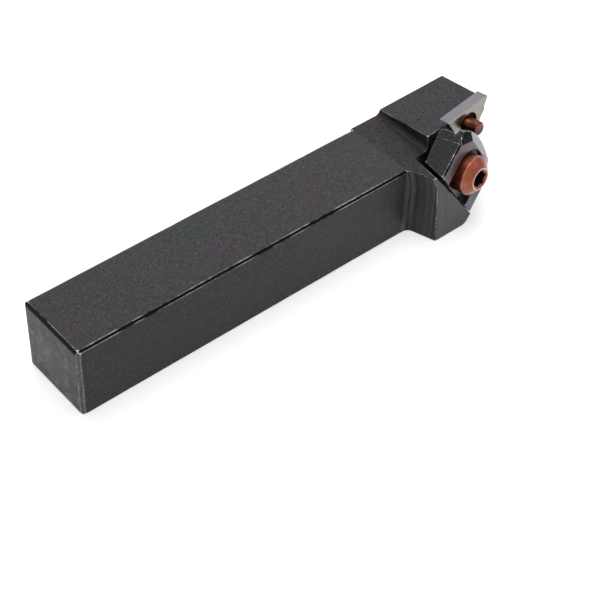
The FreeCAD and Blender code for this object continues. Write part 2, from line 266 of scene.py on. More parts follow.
def turned(name, body, node, rings, place):
    """Joins the rings into one closed skin and lets it stand for the CAD node."""
    bm = bmesh.new()
    edge = bm.verts.layers.float.new("edge")
    loops = []
    for points, wear_and_glint in rings:
        loop = []
        for i, (radius, height) in enumerate(points):
            angle = 2 * math.pi * i / SIDES
            v = bm.verts.new((radius * math.cos(angle), radius * math.sin(angle), height))
            v[edge] = wear_and_glint
            loop.append(v)
        loops.append(loop)
    for upper, lower in zip(loops, loops[1:]):
        for i in range(SIDES):
            j = (i + 1) % SIDES
            bm.faces.new((upper[i], lower[i], lower[j], upper[j]))
    bm.faces.new(loops[0])
    bm.faces.new(loops[-1][::-1])
    bm.transform(place)
    bmesh.ops.recalc_face_normals(bm, faces=bm.faces)
    piece = finished_piece(bm, name, body, node)
    piece.data.set_sharp_from_angle(angle=HARD_LINE)
    print(f"{name}: {len(rings)} rings, {len(piece.data.polygons)} faces")
    return piece


# %% [markdown]
# ## Clamp screw
# The head stands proud of the wedge: a short cylinder, a cone that was turned to keep
# chips from catching, and a narrow flat round a 4 mm socket. The thread is M6 with a
# pitch of 1 mm. Each corner is two rings close together with a high edge value, so the
# pale rim colour paints a highlight there over some polish. Where the round countersink
# meets the six flats of the socket, it leaves a scallop over each flat.

# %% Sizes of the clamp screw
HEAD_SEAT, HEAD_TOP, HEAD_R = 5.55 * MM, 11.45 * MM, 5.0 * MM
FLAT_R = 2.9 * MM
CONE = 1.85 * MM
SOCKET, SOCKET_DEPTH = 4.0 * MM, 3.6 * MM
MOUTH_R, MOUTH_DEPTH = 2.6 * MM, 0.45 * MM
STEM_R, STEM_LOW = 3.0 * MM, HEAD_SEAT - 18.0 * MM
GROOVE_LOW, GROOVE_HIGH, GROOVE_R = 1.10 * MM, 2.0 * MM, 2.45 * MM
M6_DEPTH, M6_PITCH = 0.61 * MM, 1.0 * MM
SOFT = 0.12 * MM


def mouth_rings():
    """The round countersink that meets the six flats, which makes scallops at their tops."""
    slope = MOUTH_DEPTH / (MOUTH_R - SOCKET / 2)
    flats, _ = hexagon(SOCKET, 0.0)
    scallops = [(radius, HEAD_TOP - (MOUTH_R - radius) * slope) for radius, _ in flats]
    beyond = SOCKET / math.sqrt(3) + 0.5 * SOFT
    return [(scallops, 0.5), circle(beyond, HEAD_TOP - (MOUTH_R - beyond) * slope)]


print("clamp screw:", round((HEAD_TOP - STEM_LOW) / MM, 2), "mm long")

# %% [markdown]
# ## The screw's rings, from its socket to its tip
# The list starts on the floor of the socket and climbs to the flat, whose rings carry a
# painted highlight over some polish. From there it goes down the cone and the side of the
# head, and along the stem, past the groove that carries the retaining ring, to the end of the thread.

# %% Build the clamp screw
CONE_FOOT = HEAD_TOP - CONE
socket = [
    circle(0.2 * MM, HEAD_TOP - SOCKET_DEPTH),
    hexagon(SOCKET, HEAD_TOP - SOCKET_DEPTH + 0.05 * MM),
    *mouth_rings(),
]
# High edge values here paint a highlight on the flat round the socket, over some polish.
polished_flat_and_highlight = [
    circle(MOUTH_R, HEAD_TOP - 0.3 * SOFT, 1.2),
    circle(MOUTH_R + 0.5 * SOFT, HEAD_TOP, 1.5),
    circle(FLAT_R - 0.3 * SOFT, HEAD_TOP, 1.5),
    circle(FLAT_R + 0.3 * SOFT, HEAD_TOP - 0.4 * SOFT, 1.3),
]
cone = [
    circle(FLAT_R + 1.2 * SOFT, HEAD_TOP - 1.4 * SOFT, 0.2),
    circle((FLAT_R + HEAD_R) / 2, HEAD_TOP - CONE * 0.52),
    circle(HEAD_R - 1.5 * SOFT, CONE_FOOT + 0.7 * SOFT, 0.35),
]
head_side = [
    circle(HEAD_R - 0.6 * SOFT, CONE_FOOT - 0.1 * SOFT, 1.0),
    circle(HEAD_R, CONE_FOOT - 1.2 * SOFT, 0.8),
    circle(HEAD_R, CONE_FOOT - 3.0 * SOFT),
    circle(HEAD_R, HEAD_SEAT + 3.0 * SOFT),
    circle(HEAD_R, HEAD_SEAT + SOFT, 0.6),
    circle(HEAD_R - SOFT, HEAD_SEAT, 0.8),
    circle(HEAD_R - 3.0 * SOFT, HEAD_SEAT),
]
stem = [
    circle(STEM_R, HEAD_SEAT),
    circle(STEM_R, GROOVE_HIGH),
    circle(GROOVE_R, GROOVE_HIGH),
    circle(GROOVE_R, GROOVE_LOW),
    circle(STEM_R, GROOVE_LOW),
    *thread(STEM_R, M6_DEPTH, M6_PITCH, STEM_LOW + 0.6 * MM, GROOVE_LOW - 0.1 * MM),
    circle(STEM_R - 0.6 * MM, STEM_LOW),
    circle(0.4 * MM, STEM_LOW),
]
screw_rings = socket + polished_flat_and_highlight + cone + head_side + stem
screw = turned("clamp_screw_dressed", "screw", "clamp_screw", screw_rings, screw_place)

# %% [markdown]
# ## Locating pin
# Only the plain nose of this pin shows. It fills the hole of the insert and takes the
# cutting force, while its collar holds the seat plate down. Below the plate it is an M5
# screw, turned from the far side by the small hexagon socket in its foot. It is made of
# rings too, from the nose down to the foot.

# %% Build the locating pin
PIN_R, PIN_TOP, PIN_CHAMFER = 1.85 * MM, 3.5 * MM, 0.35 * MM
COLLAR_R, COLLAR_HIGH, COLLAR_LOW = 2.95 * MM, -0.9 * MM, -1.6 * MM
PIN_STEM_R, PIN_LOW = 2.5 * MM, COLLAR_LOW - 11.0 * MM
PIN_SOCKET, PIN_SOCKET_DEPTH = 2.5 * MM, 2.2 * MM
M5_DEPTH, M5_PITCH = 0.49 * MM, 0.8 * MM
FINE = 0.06 * MM

CHAMFER_FOOT = PIN_TOP - PIN_CHAMFER
# The edge values on the nose's chamfer paint a highlight there with the pale rim colour, over some polish.
nose = [
    circle(0.3 * MM, PIN_TOP, 0.75),
    circle(PIN_R - PIN_CHAMFER - 2 * FINE, PIN_TOP, 0.75),
    circle(PIN_R - PIN_CHAMFER, PIN_TOP - 0.3 * FINE, 1.0),
    circle(PIN_R - FINE, CHAMFER_FOOT + FINE, 0.6),
    circle(PIN_R, CHAMFER_FOOT - 0.5 * FINE, 1.0),
    circle(PIN_R, CHAMFER_FOOT - 4 * FINE),
    circle(PIN_R, COLLAR_HIGH + 0.1 * MM),
]
collar = [
    circle(PIN_R + 0.1 * MM, COLLAR_HIGH),
    circle(COLLAR_R - FINE, COLLAR_HIGH, 0.6),
    circle(COLLAR_R, COLLAR_HIGH - FINE, 0.6),
    circle(COLLAR_R, COLLAR_LOW),
    circle(PIN_STEM_R, COLLAR_LOW),
]
foot = [
    *thread(PIN_STEM_R, M5_DEPTH, M5_PITCH, PIN_LOW + 0.35 * MM, COLLAR_LOW - 0.2 * MM),
    circle(PIN_STEM_R - PIN_CHAMFER, PIN_LOW, 0.5),
    hexagon(PIN_SOCKET + 2 * FINE, PIN_LOW, 0.8),
    hexagon(PIN_SOCKET, PIN_LOW + FINE, 0.5),
    hexagon(PIN_SOCKET, PIN_LOW + PIN_SOCKET_DEPTH),
    circle(0.15 * MM, PIN_LOW + PIN_SOCKET_DEPTH),
]
pin_rings = nose + collar + foot
pin = turned("locating_pin_dressed", "holder", "locating_pin", pin_rings, pin_place)

# %% [markdown]
# ## Building materials from nodes
# A material here is a small network of nodes. A few helpers keep the cells short: one
# adds a node and fills its inputs, either with a number or with a wire from another node,
# and the others do single steps such as a sum, a soft mask, a mix of colours or a noise.


# %% Helpers for single nodes
def fill(tree, node, inputs):
    """Sets a node's inputs to plain values, or wires them to the sockets that feed them."""
    for key, value in inputs.items():
        if isinstance(value, bpy.types.NodeSocket):
            tree.links.new(value, node.inputs[key])
        else:
            node.inputs[key].default_value = value
    return node


def put(tree, kind, inputs=None, **settings):
    """Adds a node with its settings and inputs."""
    node = tree.nodes.new("ShaderNode" + kind)
    for key, value in settings.items():
        setattr(node, key, value)
    return fill(tree, node, inputs or {})


def sums(tree, operation, a, b=0.0, clamp=False):
    """One step of arithmetic on two numbers."""
    return put(tree, "Math", {0: a, 1: b}, operation=operation, use_clamp=clamp).outputs[0]


def vectors(tree, operation, a, b, output="Vector"):
    """One step of arithmetic on two vectors."""
    return put(tree, "VectorMath", {0: a, 1: b}, operation=operation).outputs[output]


def scaled(tree, vector, factor):
    """A vector or a colour made longer or brighter by one factor."""
    return put(tree, "VectorMath", {0: vector, "Scale": factor}, operation="SCALE").outputs[0]


def spread(tree, value, low, high, to_low=0.0, to_high=1.0):
    """Stretches the part of a value between low and high over a new range, softly."""
    inputs = {"Value": value, "From Min": low, "From Max": high}
    inputs |= {"To Min": to_low, "To Max": to_high}
    return put(tree, "MapRange", inputs, interpolation_type="SMOOTHSTEP").outputs[0]


def blended(tree, factor, a, b):
    """A mix of two colours."""
    return put(tree, "Mix", {0: factor, 6: a, 7: b}, data_type="RGBA").outputs[2]


def rgb(red, green, blue):
    """A colour given as it looks on screen, from 0 to 255, as scene-linear values."""

    def linear(c):
        return ((c / 255 + 0.055) / 1.055) ** 2.4 if c > 10 else c / 255 / 12.92

    return (linear(red), linear(green), linear(blue), 1.0)


print("mid grey 80 on screen is", round(rgb(80, 80, 80)[0], 3), "as a surface colour")

# %% [markdown]
# ## Noise
# Nearly everything uneven on a surface comes from noise: random hills and valleys whose
# heights lie around 0.5. Its scale counts hills per metre here, which is hard to picture,
# so the groups ask for the width of a hill in millimetres and turn it round.

# %% Helpers for noise
HALF = 0.5


def noise(tree, place, scale, detail, roughness=0.5, output=0):
    """Random hills and valleys around one half, scale of them to a metre."""
    inputs = {"Vector": place, "Scale": scale, "Detail": detail, "Roughness": roughness}
    return put(tree, "TexNoise", inputs).outputs[output]


def per_metre(tree, width_mm):
    """How many hills of this width go into a metre."""
    return sums(tree, "DIVIDE", 1000.0, width_mm)


def swing(tree, value, amount):
    """A noise moved to lie around zero, and made stronger or weaker."""
    return sums(tree, "MULTIPLY", sums(tree, "SUBTRACT", value, HALF), amount)


print("a hill of 4 mm is a noise scale of", 1000 / 4)

# %% [markdown]
# ## Node groups
# A group is a network with named inputs and outputs. It is built once and placed in every
# material that needs the effect, each time with its own values, as a stamp that can be
# inked in other colours. Groups hold only what changes over the surface: colours, masks
# and heights. The shader itself stays in each material.


# %% Helpers for groups
def new_group(name, inputs, outputs):
    """Starts a shader node group; sockets are (name, kind, default) and (name, kind)."""
    tree = bpy.data.node_groups.new(name, "ShaderNodeTree")
    for label, kind, value in inputs:
        kind = "NodeSocket" + kind
        socket = tree.interface.new_socket(label, in_out="INPUT", socket_type=kind)
        socket.default_value = value
    for label, kind in outputs:
        kind = "NodeSocket" + kind
        tree.interface.new_socket(label, in_out="OUTPUT", socket_type=kind)
    taken = tree.nodes.new("NodeGroupInput").outputs
    given = tree.nodes.new("NodeGroupOutput").inputs
    return tree, taken, given


def use_group(tree, group, inputs):
    """Places a group in a material and fills its inputs."""
    node = tree.nodes.new("ShaderNodeGroup")
    node.node_tree = group
    return fill(tree, node, inputs).outputs


PLACE = ("Place", "Vector", (0, 0, 0))
print("every group reads its place on the object from the input", PLACE[0])

# %% [markdown]
# ## Tone of black oxide
# Black oxide is a skin about a thousandth of a millimetre thick. Where the salt bath was
# hotter or the oil dried unevenly it drifts towards blue-green or purple, in soft patches
# a few millimetres wide, and its fine grain makes single specks lighter or darker. The
# group mixes three colours by two large noises and lets a small noise change brightness.
# The second noise is the first one read far away, so that the two never coincide.

# %% Group: oxide tone
FAR_AWAY = (0.31, 0.17, 0.23)
COOL_MASK, WARM_MASK = (0.45, 0.68), (0.47, 0.7)
PATCH_DETAIL, PATCH_ROUGHNESS = 3.0, 0.55
GRAIN_DETAIL, GRAIN_ROUGHNESS = 2.0, 0.7

oxide_tone, get, give = new_group(
    "oxide tone",
    [
        PLACE,
        ("Colour", "Color", rgb(64, 63, 66)),
        ("Cool", "Color", rgb(62, 72, 72)),
        ("Warm", "Color", rgb(72, 62, 70)),
        ("Patch mm", "Float", 7.0),
        ("Grain mm", "Float", 0.25),
        ("Grain amount", "Float", 0.25),
    ],
    [("Colour", "Color"), ("Patches", "Float"), ("Grain", "Float")],
)
tree = oxide_tone
patch_scale = per_metre(tree, get["Patch mm"])
elsewhere = vectors(tree, "ADD", get["Place"], FAR_AWAY)
cool = noise(tree, get["Place"], patch_scale, PATCH_DETAIL, PATCH_ROUGHNESS)
warm = noise(tree, elsewhere, patch_scale, PATCH_DETAIL, PATCH_ROUGHNESS)
grain_scale = per_metre(tree, get["Grain mm"])
grain = noise(tree, get["Place"], grain_scale, GRAIN_DETAIL, GRAIN_ROUGHNESS)
tone = blended(tree, spread(tree, cool, *COOL_MASK), get["Colour"], get["Cool"])
tone = blended(tree, spread(tree, warm, *WARM_MASK), tone, get["Warm"])
brighter = sums(tree, "MULTIPLY", swing(tree, grain, get["Grain amount"]), 2.0)
tone = scaled(tree, tone, sums(tree, "ADD", brighter, 1.0))
tree.links.new(tone, give["Colour"])
tree.links.new(cool, give["Patches"])
tree.links.new(grain, give["Grain"])
print("oxide tone:", len(tree.nodes), "nodes")

# %% [markdown]
# ## Worn edges and painted glints
# Along the edges the coating is partly thin or gone and partly given a painted highlight,
# and the corners carry a painted glint. The group takes the "edge" value that the
# rounding left on the mesh and breaks it up with noise, so the bright line comes and goes.
# What a value has above 1, as at a corner glint, is bright whatever the noise says.

# %% Group: worn edge and painted glint
WEAR_DETAIL, WEAR_ROUGHNESS = 6.0, 0.72
EDGE_WEIGHT, BREAK_WEIGHT = 0.8, 1.6
BARE_FROM, BARE_TO = 0.62, 1.15

edge_wear_and_glint, get, give = new_group(
    "worn edge and painted glint",
    [
        PLACE,
        ("Edge", "Float", 0.0),
        ("Breaks mm", "Float", 1.5),
        ("Amount", "Float", 0.6),
    ],
    [("Mask", "Float")],
)
tree = edge_wear_and_glint
break_scale = per_metre(tree, get["Breaks mm"])
breaks = noise(tree, get["Place"], break_scale, WEAR_DETAIL, WEAR_ROUGHNESS)
level = sums(tree, "MULTIPLY", get["Edge"], EDGE_WEIGHT)
level = sums(tree, "ADD", level, swing(tree, breaks, BREAK_WEIGHT))
line = spread(tree, level, BARE_FROM, BARE_TO)
line = sums(tree, "MULTIPLY", line, get["Amount"], clamp=True)
# A value above 1 paints a glint at a corner.
corner_glint = sums(tree, "SUBTRACT", get["Edge"], 1.0, clamp=True)
tree.links.new(sums(tree, "MAXIMUM", line, corner_glint), give["Mask"])
print("worn edge and painted glint:", len(tree.nodes), "nodes")

# %% [markdown]
# ## Cutter marks
# A milling cutter leaves a fine ridge each time it feeds forward. Seen across the feed,
# the height of the face is a slow random curve with a faint regular beat on top. The
# group measures how far a point lies along one direction, uses that as the only
# coordinate of a noise, and adds a little waver, so the lines are not ruled.

# %% Group: cutter marks
WAVER_SCALE, WAVER_DETAIL, WAVER_REACH = 120.0, 1.0, 10.0
BEAT = 0.12

cutter_marks, get, give = new_group(
    "cutter marks",
    [
        PLACE,
        ("Across", "Vector", (1, 0, 0)),
        ("Pitch mm", "Float", 0.3),
        ("Waver", "Float", 0.2),
    ],
    [("Height", "Float")],
)
tree = cutter_marks
distance = vectors(tree, "DOT_PRODUCT", get["Place"], get["Across"], output="Value")
distance = sums(tree, "MULTIPLY", distance, 1000.0)
steps = sums(tree, "DIVIDE", distance, get["Pitch mm"])
waver = noise(tree, get["Place"], WAVER_SCALE, WAVER_DETAIL)
reach = sums(tree, "MULTIPLY", get["Waver"], WAVER_REACH)
steps = sums(tree, "ADD", steps, swing(tree, waver, reach))
curve = {"W": steps, "Scale": 1.0, "Detail": 3.0, "Roughness": 0.65}
ridges = put(tree, "TexNoise", curve, noise_dimensions="1D").outputs[0]
beat = sums(tree, "SINE", sums(tree, "MULTIPLY", steps, 2 * math.pi))
height = sums(tree, "ADD", ridges, sums(tree, "MULTIPLY", beat, BEAT))
tree.links.new(height, give["Height"])
print("cutter marks:", len(tree.nodes), "nodes")

# %% [markdown]
# ## Fine scratches
# Sliding in and out of a tool post leaves short hair-thin scratches that mostly run the
# same way. A noise that is stretched strongly along one axis gives such streaks, and
# keeping only its highest peaks leaves a few of them. A second, slow noise bends them.

# %% Group: fine scratches
BEND_SCALE, BEND = 60.0, 0.0012
STREAK_DETAIL = 1.0
PEAK = 0.08

fine_scratches, get, give = new_group(
    "fine scratches",
    [
        PLACE,
        ("Stretch", "Vector", (0.08, 1, 1)),
        ("Width mm", "Float", 0.12),
        ("Rarity", "Float", 0.72),
    ],
    [("Mask", "Float")],
)
tree = fine_scratches
stretched = vectors(tree, "MULTIPLY", get["Place"], get["Stretch"])
bent = noise(tree, get["Place"], BEND_SCALE, STREAK_DETAIL, output="Color")
stretched = vectors(tree, "ADD", stretched, scaled(tree, bent, BEND))
streaks = noise(tree, stretched, per_metre(tree, get["Width mm"]), STREAK_DETAIL)
peak = sums(tree, "ADD", get["Rarity"], PEAK)
tree.links.new(spread(tree, streaks, get["Rarity"], peak), give["Mask"])
print("fine scratches:", len(tree.nodes), "nodes")

# %% [markdown]
# ## Start and end of a material
# Each material starts with the place on the object and with the "edge" value of the mesh,
# and ends with one Principled BSDF. Object coordinates are used because they stay on the
# piece when it moves.


# %% Helpers for materials
def new_material(name):
    """An empty material, with the place on the object and the value of its edges."""
    material = bpy.data.materials.new(name)
    material.use_nodes = True
    tree = material.node_tree
    tree.nodes.clear()
    place = put(tree, "TexCoord").outputs["Object"]
    edge = put(tree, "Attribute", attribute_name="edge").outputs["Fac"]
    return material, tree, place, edge


def close_material(material, inputs):
    """Adds the shader, wires it to the output, and hands the finished material back."""
    tree = material.node_tree
    shader = put(tree, "BsdfPrincipled", inputs)
    tree.links.new(shader.outputs[0], put(tree, "OutputMaterial").inputs[0])
    print(f"{material.name}: {len(tree.nodes)} nodes")
    return material


# %% [markdown]
# ## The blackened finishes
# Body and wedge share one recipe: oxide tone for the colour, a near-white line along the
# edges that is partly worn coating and partly a painted highlight, painted glints at the
# corners, scratches that uncover bright steel, and cutter marks for the relief. The oxide
# hardly reflects, but it is porous and holds the oil it was dipped in. So the shader is a
# dull dark base under a thin coat of oil, and the oil lies thicker on some grains than on
# others, which gives the face its fine sparkle. What differs from face to face is how
# smooth the cutter left it, and on some faces a lighter or darker tone that is painted
# light or shade, so the recipe is a function with named values.

# %% Recipe: blackened steel
# The near-white, barely metallic steel colour paints a highlight along the edges and a glint at the corners, over
# real wear, scratches and stripes.
BARE_STEEL_AND_GLINT, BARE_METALLIC = rgb(224, 221, 220), 0.3
OXIDE_IOR, OXIDE_GLOSS, OXIDE_TINT = 1.3, 0.3, (1.0, 0.93, 1.0, 1.0)
OIL_IOR, OIL_MEAN, OIL_SWING = 1.3, 1.4, 4.0
GRAIN_MM = 0.42
PATCH_MATT, GRAIN_MATT = 0.25, 0.4
STRIPE_FROM, STRIPE_TO = 0.45, 0.75
BUMP_STRENGTH, BUMP_DEPTH = 0.6, 0.025 * MM
LENGTHWISE = (0.08, 1, 1)


def blackened(
    name,
    tones,
    roughness,
    marks,
    waver=0.2,
    stripes=0.0,
    patch=4.0,
    grain=0.5,
    shine=0.5,
    wear=0.7,
    breaks=9.0,
    scratch=0.3,
    stretch=LENGTHWISE,
    painted_sheen_metal=0.0,
):
    """
    A blackened face. tones are its own, its cool and its warm colour; marks are the
    direction across the cutter marks, their pitch in mm and their relief. The metal added
    all over is a painted sheen, and stripes says how much steel shines through on the ridges.
    """
    material, tree, place, edge = new_material(name)
    skin = dict(zip(("Colour", "Cool", "Warm"), tones))
    skin |= {"Place": place, "Patch mm": patch, "Grain mm": GRAIN_MM, "Grain amount": grain}
    tone = use_group(tree, oxide_tone, skin)
    wearing = {"Place": place, "Edge": edge, "Breaks mm": breaks, "Amount": wear}
    wear_and_glint = use_group(tree, edge_wear_and_glint, wearing)["Mask"]
    hair = use_group(tree, fine_scratches, {"Place": place, "Stretch": stretch})["Mask"]
    direction, pitch, relief = marks
    cutting = {"Place": place, "Across": direction, "Pitch mm": pitch, "Waver": waver}
    ridges = use_group(tree, cutter_marks, cutting)["Height"]

    striped = sums(tree, "MULTIPLY", spread(tree, ridges, STRIPE_FROM, STRIPE_TO), stripes)
    bare_and_glint = sums(tree, "MAXIMUM", wear_and_glint, sums(tree, "MULTIPLY", hair, scratch))
    bare_and_glint = sums(tree, "MAXIMUM", bare_and_glint, striped)
    colour = blended(tree, bare_and_glint, tone["Colour"], BARE_STEEL_AND_GLINT)
    metal = sums(tree, "MULTIPLY", bare_and_glint, BARE_METALLIC)
    # The metal added over the whole face is a painted sheen.
    metal = sums(tree, "ADD", metal, painted_sheen_metal, clamp=True)

    rough = swing(tree, tone["Patches"], PATCH_MATT)
    rough = sums(tree, "ADD", rough, swing(tree, tone["Grain"], GRAIN_MATT))
    rough = sums(tree, "ADD", rough, roughness, clamp=True)
    oil = swing(tree, tone["Grain"], OIL_SWING * grain * shine)
    oil = sums(tree, "ADD", oil, OIL_MEAN * shine, clamp=True)
    height = sums(tree, "ADD", sums(tree, "MULTIPLY", ridges, relief), tone["Grain"])
    bump = {"Height": height, "Strength": BUMP_STRENGTH, "Distance": BUMP_DEPTH}
    normal = put(tree, "Bump", bump).outputs[0]

    shader = {"Base Color": colour, "Roughness": rough, "Metallic": metal, "IOR": OXIDE_IOR}
    shader |= {"Specular IOR Level": OXIDE_GLOSS * shine, "Specular Tint": OXIDE_TINT}
    shader |= {"Coat Weight": oil, "Coat IOR": OIL_IOR, "Coat Roughness": roughness}
    return close_material(material, shader | {"Normal": normal})


# %% [markdown]
# ## Finishes of the bar
# The sides of the bar were ground, and their oxide drifts between green and purple in
# broad patches. The head was milled and is duller. The back of the fence was cut with the
# side of the cutter, which left straight lines where steel shines through. The rear end
# was sawn and is blotched and scratched.

# %% Ground, milled and sawn faces
LONG, CROSSWISE, SLANTED = (1, 0, 0), (0, 1, 0), (0, 0.8, 0.6)

ground_oxide = blackened(
    "blackened_ground_faces",
    tones=(rgb(39, 37, 40), rgb(34, 42, 42), rgb(45, 37, 45)),
    roughness=0.4,
    marks=(CROSSWISE, 0.5, 0.2),
    patch=9.0,
    grain=0.9,
)
head_oxide = blackened(
    "blackened_head_faces",
    tones=(rgb(46, 44, 47), rgb(37, 42, 44), rgb(50, 43, 50)),
    roughness=0.42,
    marks=(LONG, 0.5, 0.2),
    grain=1.3,
    shine=0.3,
)
milled_oxide = blackened(
    "blackened_milled_fence",
    tones=(rgb(23, 21, 24), rgb(30, 29, 33), rgb(38, 32, 38)),
    roughness=0.38,
    marks=(CROSSWISE, 0.28, 1.5),
    waver=0.04,
    stripes=0.19,
    breaks=2.0,
    scratch=0.1,
)
sawn_oxide = blackened(
    "blackened_end_face",
    tones=(rgb(62, 56, 64), rgb(27, 26, 30), rgb(108, 100, 112)),
    roughness=0.36,
    marks=(SLANTED, 0.6, 0.2),
    patch=4.5,
    grain=1.4,
    shine=0.35,
    scratch=0.8,
    stretch=(1, 0.5, 0.12),
)

# %% [markdown]
# ## Lighter and darker places of the bar
# The top of the fence gets a lighter tone and a little metal all over, a painted
# reflection of the bright floor. The chamfers get the deepest black and hardly shine,
# painted shade for the dark they face. The standing corner of the rear end gets a light
# tone, which is painted light, broken by short lines of wear and scratches.

# %% Fence top, chamfers and rear corner
# Lighter tone and a little metal: a painted reflection on the fence top.
fence_top_painted_sheen = blackened(
    "blackened_fence_top_painted_sheen",
    tones=(rgb(80, 78, 82), rgb(74, 78, 79), rgb(88, 80, 84)),
    roughness=0.36,
    marks=(LONG, 0.4, 0.3),
    stripes=0.08,
    painted_sheen_metal=0.14,
)
# Deepest black with little shine: painted shade on the chamfers.
chamfer_painted_shade = blackened(
    "blackened_chamfers_painted_shade",
    tones=(rgb(16, 15, 17), rgb(14, 16, 17), rgb(22, 18, 22)),
    roughness=0.5,
    marks=(CROSSWISE, 0.5, 0.2),
    shine=0.12,
    wear=0.9,
    scratch=0.1,
)
# Light tone: painted light on the rear corner, with real wear and scratches.
end_corner_wear_and_painted_light = blackened(
    "rubbed_end_corner_painted_light",
    tones=(rgb(104, 101, 104), rgb(80, 82, 84), rgb(120, 112, 116)),
    roughness=0.36,
    marks=(SLANTED, 0.6, 0.2),
    patch=1.5,
    grain=0.8,
    breaks=1.0,
    scratch=0.8,
    stretch=(1, 1, 0.12),
    painted_sheen_metal=0.1,
)

# %% [markdown]
# ## Finishes of the wedge and the ring
# The wedge's rim and the bevel of its nose get a pale, nearly metal tone, a painted
# reflection of the bright floor they face. Its ends are as black as the bar, and the small
# facet beside the bevel gets the blackest tone of all, painted shade. The ring is dark
# spring steel, and its material also paints shade into the screw's socket.

# %% Wedge and ring
WEDGE_MARKS = (tuple(along), 0.35, 0.3)

wedge_oxide = blackened(
    "blackened_wedge",
    tones=(rgb(44, 42, 46), rgb(33, 37, 40), rgb(46, 38, 46)),
    roughness=0.36,
    marks=WEDGE_MARKS,
    patch=2.0,
    grain=1.2,
    shine=0.48,
    wear=1.0,
    breaks=1.5,
    scratch=0.15,
)
# Shared settings of the rim, the bevel and the facet, whose tones are painted light and shade.
wedge_top_settings = {"patch": 2.0, "wear": 0.9, "breaks": 1.5}
# Pale, nearly metal tone: a painted sheen on the wedge's rim.
rim_painted_sheen = blackened(
    "wedge_rim_painted_sheen",
    tones=(rgb(90, 89, 91), rgb(72, 78, 78), rgb(98, 90, 92)),
    roughness=0.3,
    marks=(tuple(along), 0.35, 0.4),
    shine=0.25,
    painted_sheen_metal=0.8,
    **wedge_top_settings,
)
# Pale, nearly metal tone: a painted reflection of the floor on the nose bevel.
bevel_painted_reflection = blackened(
    "nose_bevel_painted_reflection",
    tones=(rgb(152, 152, 152), rgb(142, 148, 147), rgb(156, 150, 149)),
    roughness=0.3,
    marks=WEDGE_MARKS,
    shine=0.25,
    painted_sheen_metal=0.7,
    **wedge_top_settings,
)
# Blackest tone: painted shade on the nose facet.
facet_painted_shade = blackened(
    "blackened_nose_facet_painted_shade",
    tones=(rgb(12, 11, 13), rgb(12, 14, 15), rgb(18, 14, 18)),
    roughness=0.34,
    marks=WEDGE_MARKS,
    shine=0.1,
    **wedge_top_settings,
)
# Dark spring steel for the ring; the same material paints shade into the screw's socket.
ring_steel_and_socket_shade = blackened(
    "dark_spring_steel_and_socket_shade",
    tones=(rgb(40, 40, 42), rgb(38, 40, 44), rgb(44, 40, 40)),
    roughness=0.35,
    marks=(tuple(up), 0.2, 0.4),
    scratch=0.05,
)

# %% [markdown]
# ## Seat plate
# The seat plate is hard ground steel, left light. It is all metal, so its tone comes from
# what it mirrors, and the fine parallel lines of the grinding wheel smear that mirror
# image. Only along its edges is it duller. The grooves on its sides are deeper.


# %% Recipe: ground seat plate
PLATE_EDGE, PLATE_EDGE_DULL = rgb(200, 194, 190), 0.6
RIDGE_MATT = 0.1


def ground_plate(name, tones, roughness, marks):
    """Bright ground steel; tones and marks mean the same as for a blackened face."""
    material, tree, place, edge = new_material(name)
    skin = dict(zip(("Colour", "Cool", "Warm"), tones))
    skin |= {"Place": place, "Patch mm": 3.0, "Grain mm": 0.3, "Grain amount": 0.16}
    tone = use_group(tree, oxide_tone, skin)
    direction, pitch, relief = marks
    grinding = {"Place": place, "Across": direction, "Pitch mm": pitch, "Waver": 0.05}
    ridges = use_group(tree, cutter_marks, grinding)["Height"]
    wearing = {"Place": place, "Edge": edge, "Breaks mm": 0.8, "Amount": 0.8}
    wear_and_glint = use_group(tree, edge_wear_and_glint, wearing)["Mask"]

    colour = blended(tree, wear_and_glint, tone["Colour"], PLATE_EDGE)
    rough = sums(tree, "ADD", sums(tree, "MULTIPLY", ridges, RIDGE_MATT), roughness)
    metal = sums(tree, "SUBTRACT", 1.0, sums(tree, "MULTIPLY", wear_and_glint, PLATE_EDGE_DULL))
    height = sums(tree, "MULTIPLY", ridges, relief)
    bump = put(tree, "Bump", {"Height": height, "Strength": 0.4, "Distance": 0.01 * MM})
    shader = {"Base Color": colour, "Roughness": rough, "Metallic": metal}
    return close_material(material, shader | {"Normal": bump.outputs[0]})


plate_face = ground_plate(
    "ground_plate_face",
    tones=(rgb(148, 143, 137), rgb(142, 141, 140), rgb(152, 143, 134)),
    roughness=0.22,
    marks=(tuple(along), 0.12, 0.5),
)
plate_side = ground_plate(
    "ground_plate_side",
    tones=(rgb(102, 100, 105), rgb(96, 99, 105), rgb(108, 101, 102)),
    roughness=0.3,
    marks=(tuple(up), 0.25, 1.5),
)

# %% [markdown]
# ## Screw and pin
# The pin and the screw were tempered to a copper brown: a clear oxide film whose colour
# drifts from straw to red-brown and purple, so metal reflections stay strong and only
# the tint changes. The fine rings of the lathe tool lie round their axis. The rims use the
# same edge group as the body, and their pale colour is partly polish and partly a painted highlight. The pin has
# less oil on it.


# %% Recipe: browned steel for the screw and the pin
FILM_MATT, RIM_SHINE = 0.2, 0.1
FILM_GRAIN = 0.5


